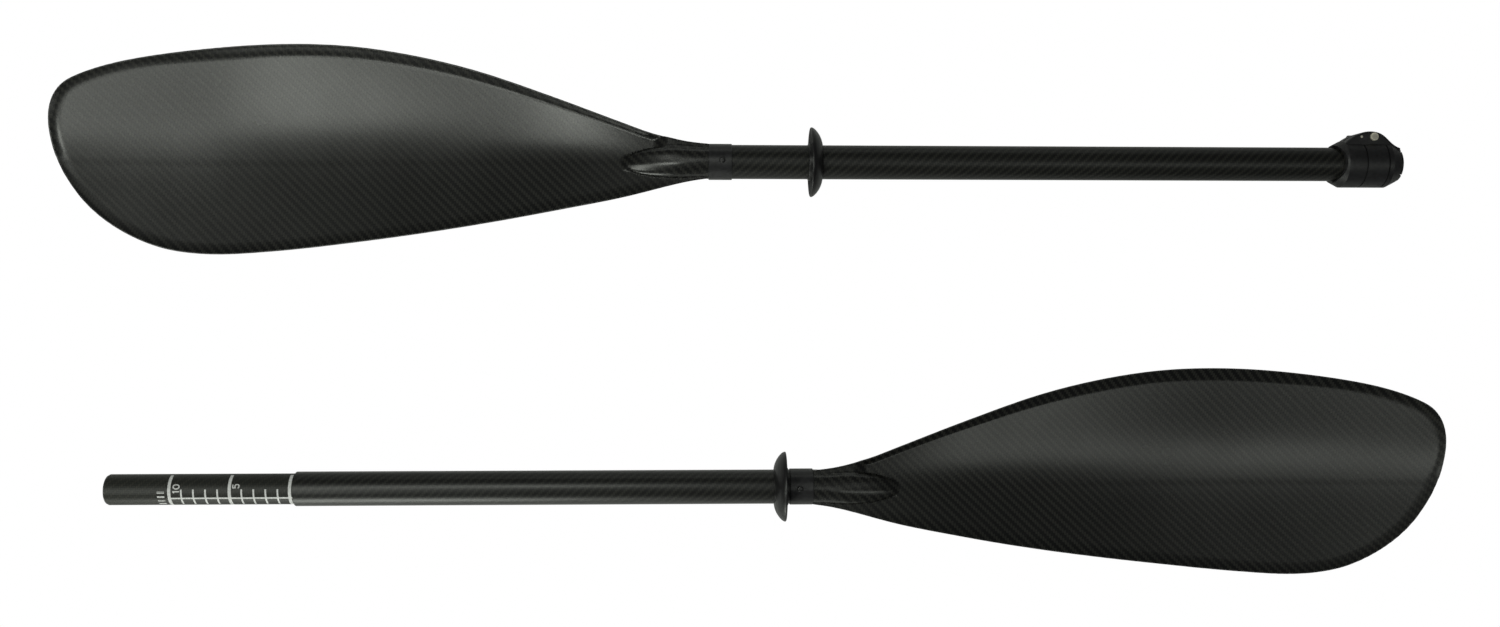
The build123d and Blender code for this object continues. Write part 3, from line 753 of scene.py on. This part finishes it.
# ---------------------------------------------------------------- carried-over CAD nodes
cad_looks = {
    "outer_shaft": MAT_OUTER_SHAFT,
    "inner_shaft": MAT_INNER_SHAFT,
    "ferrule_tube": MAT_FERRULE,
    "outer_joint_collar": MAT_COLLAR,
    "inner_joint_collar": MAT_COLLAR,
    "outer_neck_spigot": MAT_COLLAR,
    "inner_neck_spigot": MAT_COLLAR,
    "outer_snap_button": MAT_COLLAR,
    "inner_snap_button": MAT_COLLAR,
    "ferrule_end_bung": MAT_RUBBER,
    "clamp_body": MAT_CLAMP,
    "clamp_lever": MAT_CLAMP,
    "clamp_nut": MAT_NUT,
    "clamp_bolt": MAT_BOLT,
    "clamp_saddle": MAT_STEEL,
    "clamp_lever_pin": MAT_STEEL,
    "clamp_guide_pin": MAT_BOLT,
    "outer_foam_plug": MAT_FOAM,
    "inner_foam_plug": MAT_FOAM,
}
for node, mat in cad_looks.items():
    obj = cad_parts[node]
    obj.data.materials.clear()
    obj.data.materials.append(mat)

# ---------------------------------------------------------------- stage, lights, camera
# The camera looks almost straight down at the point (CENTRE_X, CENTRE_Y, 0), from DISTANCE away.
CENTRE_X, CENTRE_Y = -0.5658, -0.1304
TILT = math.asin(0.0364)
DISTANCE = 1.1624
FLOOR_Z, FLOOR_SIZE = -0.16, 40

bpy.ops.mesh.primitive_plane_add(size=FLOOR_SIZE, location=(CENTRE_X, CENTRE_Y, FLOOR_Z))
floor = bpy.context.object
floor.name = "floor"
floor.data.materials.append(pale_floor())


def softbox(name, location, target, size, power, colour=(0.96, 1.0, 0.92)):
    """A rectangular light of this size, facing the target."""
    data = bpy.data.lights.new(name, "AREA")
    data.shape = "RECTANGLE"
    data.size, data.size_y = size
    data.energy = power
    data.color = colour
    light = bpy.data.objects.new(name, data)
    light.location = location
    direction = Vector(target) - Vector(location)
    light.rotation_euler = direction.to_track_quat("-Z", "Y").to_euler()
    bpy.context.scene.collection.objects.link(light)
    return light


# Each overhead light is mirrored in one stretch of a blade. The low ones edge the tubes and rings.
softbox("overhead", (-1.88, -0.12, 2.0), (-1.88, -0.12, 0), (0.74, 0.6), 7.4)
softbox("overhead_root", (-1.08, 0.33, 2.0), (-1.08, 0.33, 0), (0.4, 0.5), 6.5)
softbox("overhead_left", (-2.15, -0.9, 2.0), (-2.15, -0.9, 0), (0.8, 0.8), 13)
softbox("overhead_right", (0.45, -0.47, 2.0), (0.45, -0.47, 0), (1.4, 0.5), 4.0)
softbox("low_front", (-1.35, -2.0, 0.3), (-0.8, -0.28, 0), (0.8, 0.7), 13)
softbox("low_back", (-0.4, 2.6, 0.55), (-0.5, 0.0, 0), (2.6, 0.6), 4)

WORLD_STRENGTH = 0.06
world = bpy.data.worlds.new("studio")
world.use_nodes = True
world.node_tree.nodes["Background"].inputs[0].default_value = (0.93, 0.96, 1.0, 1)
world.node_tree.nodes["Background"].inputs[1].default_value = WORLD_STRENGTH
bpy.context.scene.world = world
bpy.context.scene.view_settings.view_transform = "Standard"

camera_data = bpy.data.cameras.new("camera")
camera_data.lens = 32.4
camera_data.sensor_width = 36
camera = bpy.data.objects.new("camera", camera_data)
look = Vector((math.sin(TILT), 0, -math.cos(TILT)))
camera.location = Vector((CENTRE_X, CENTRE_Y, 0)) - look * DISTANCE
camera.rotation_euler = (0, -TILT, 0)
bpy.context.scene.collection.objects.link(camera)
bpy.context.scene.camera = camera
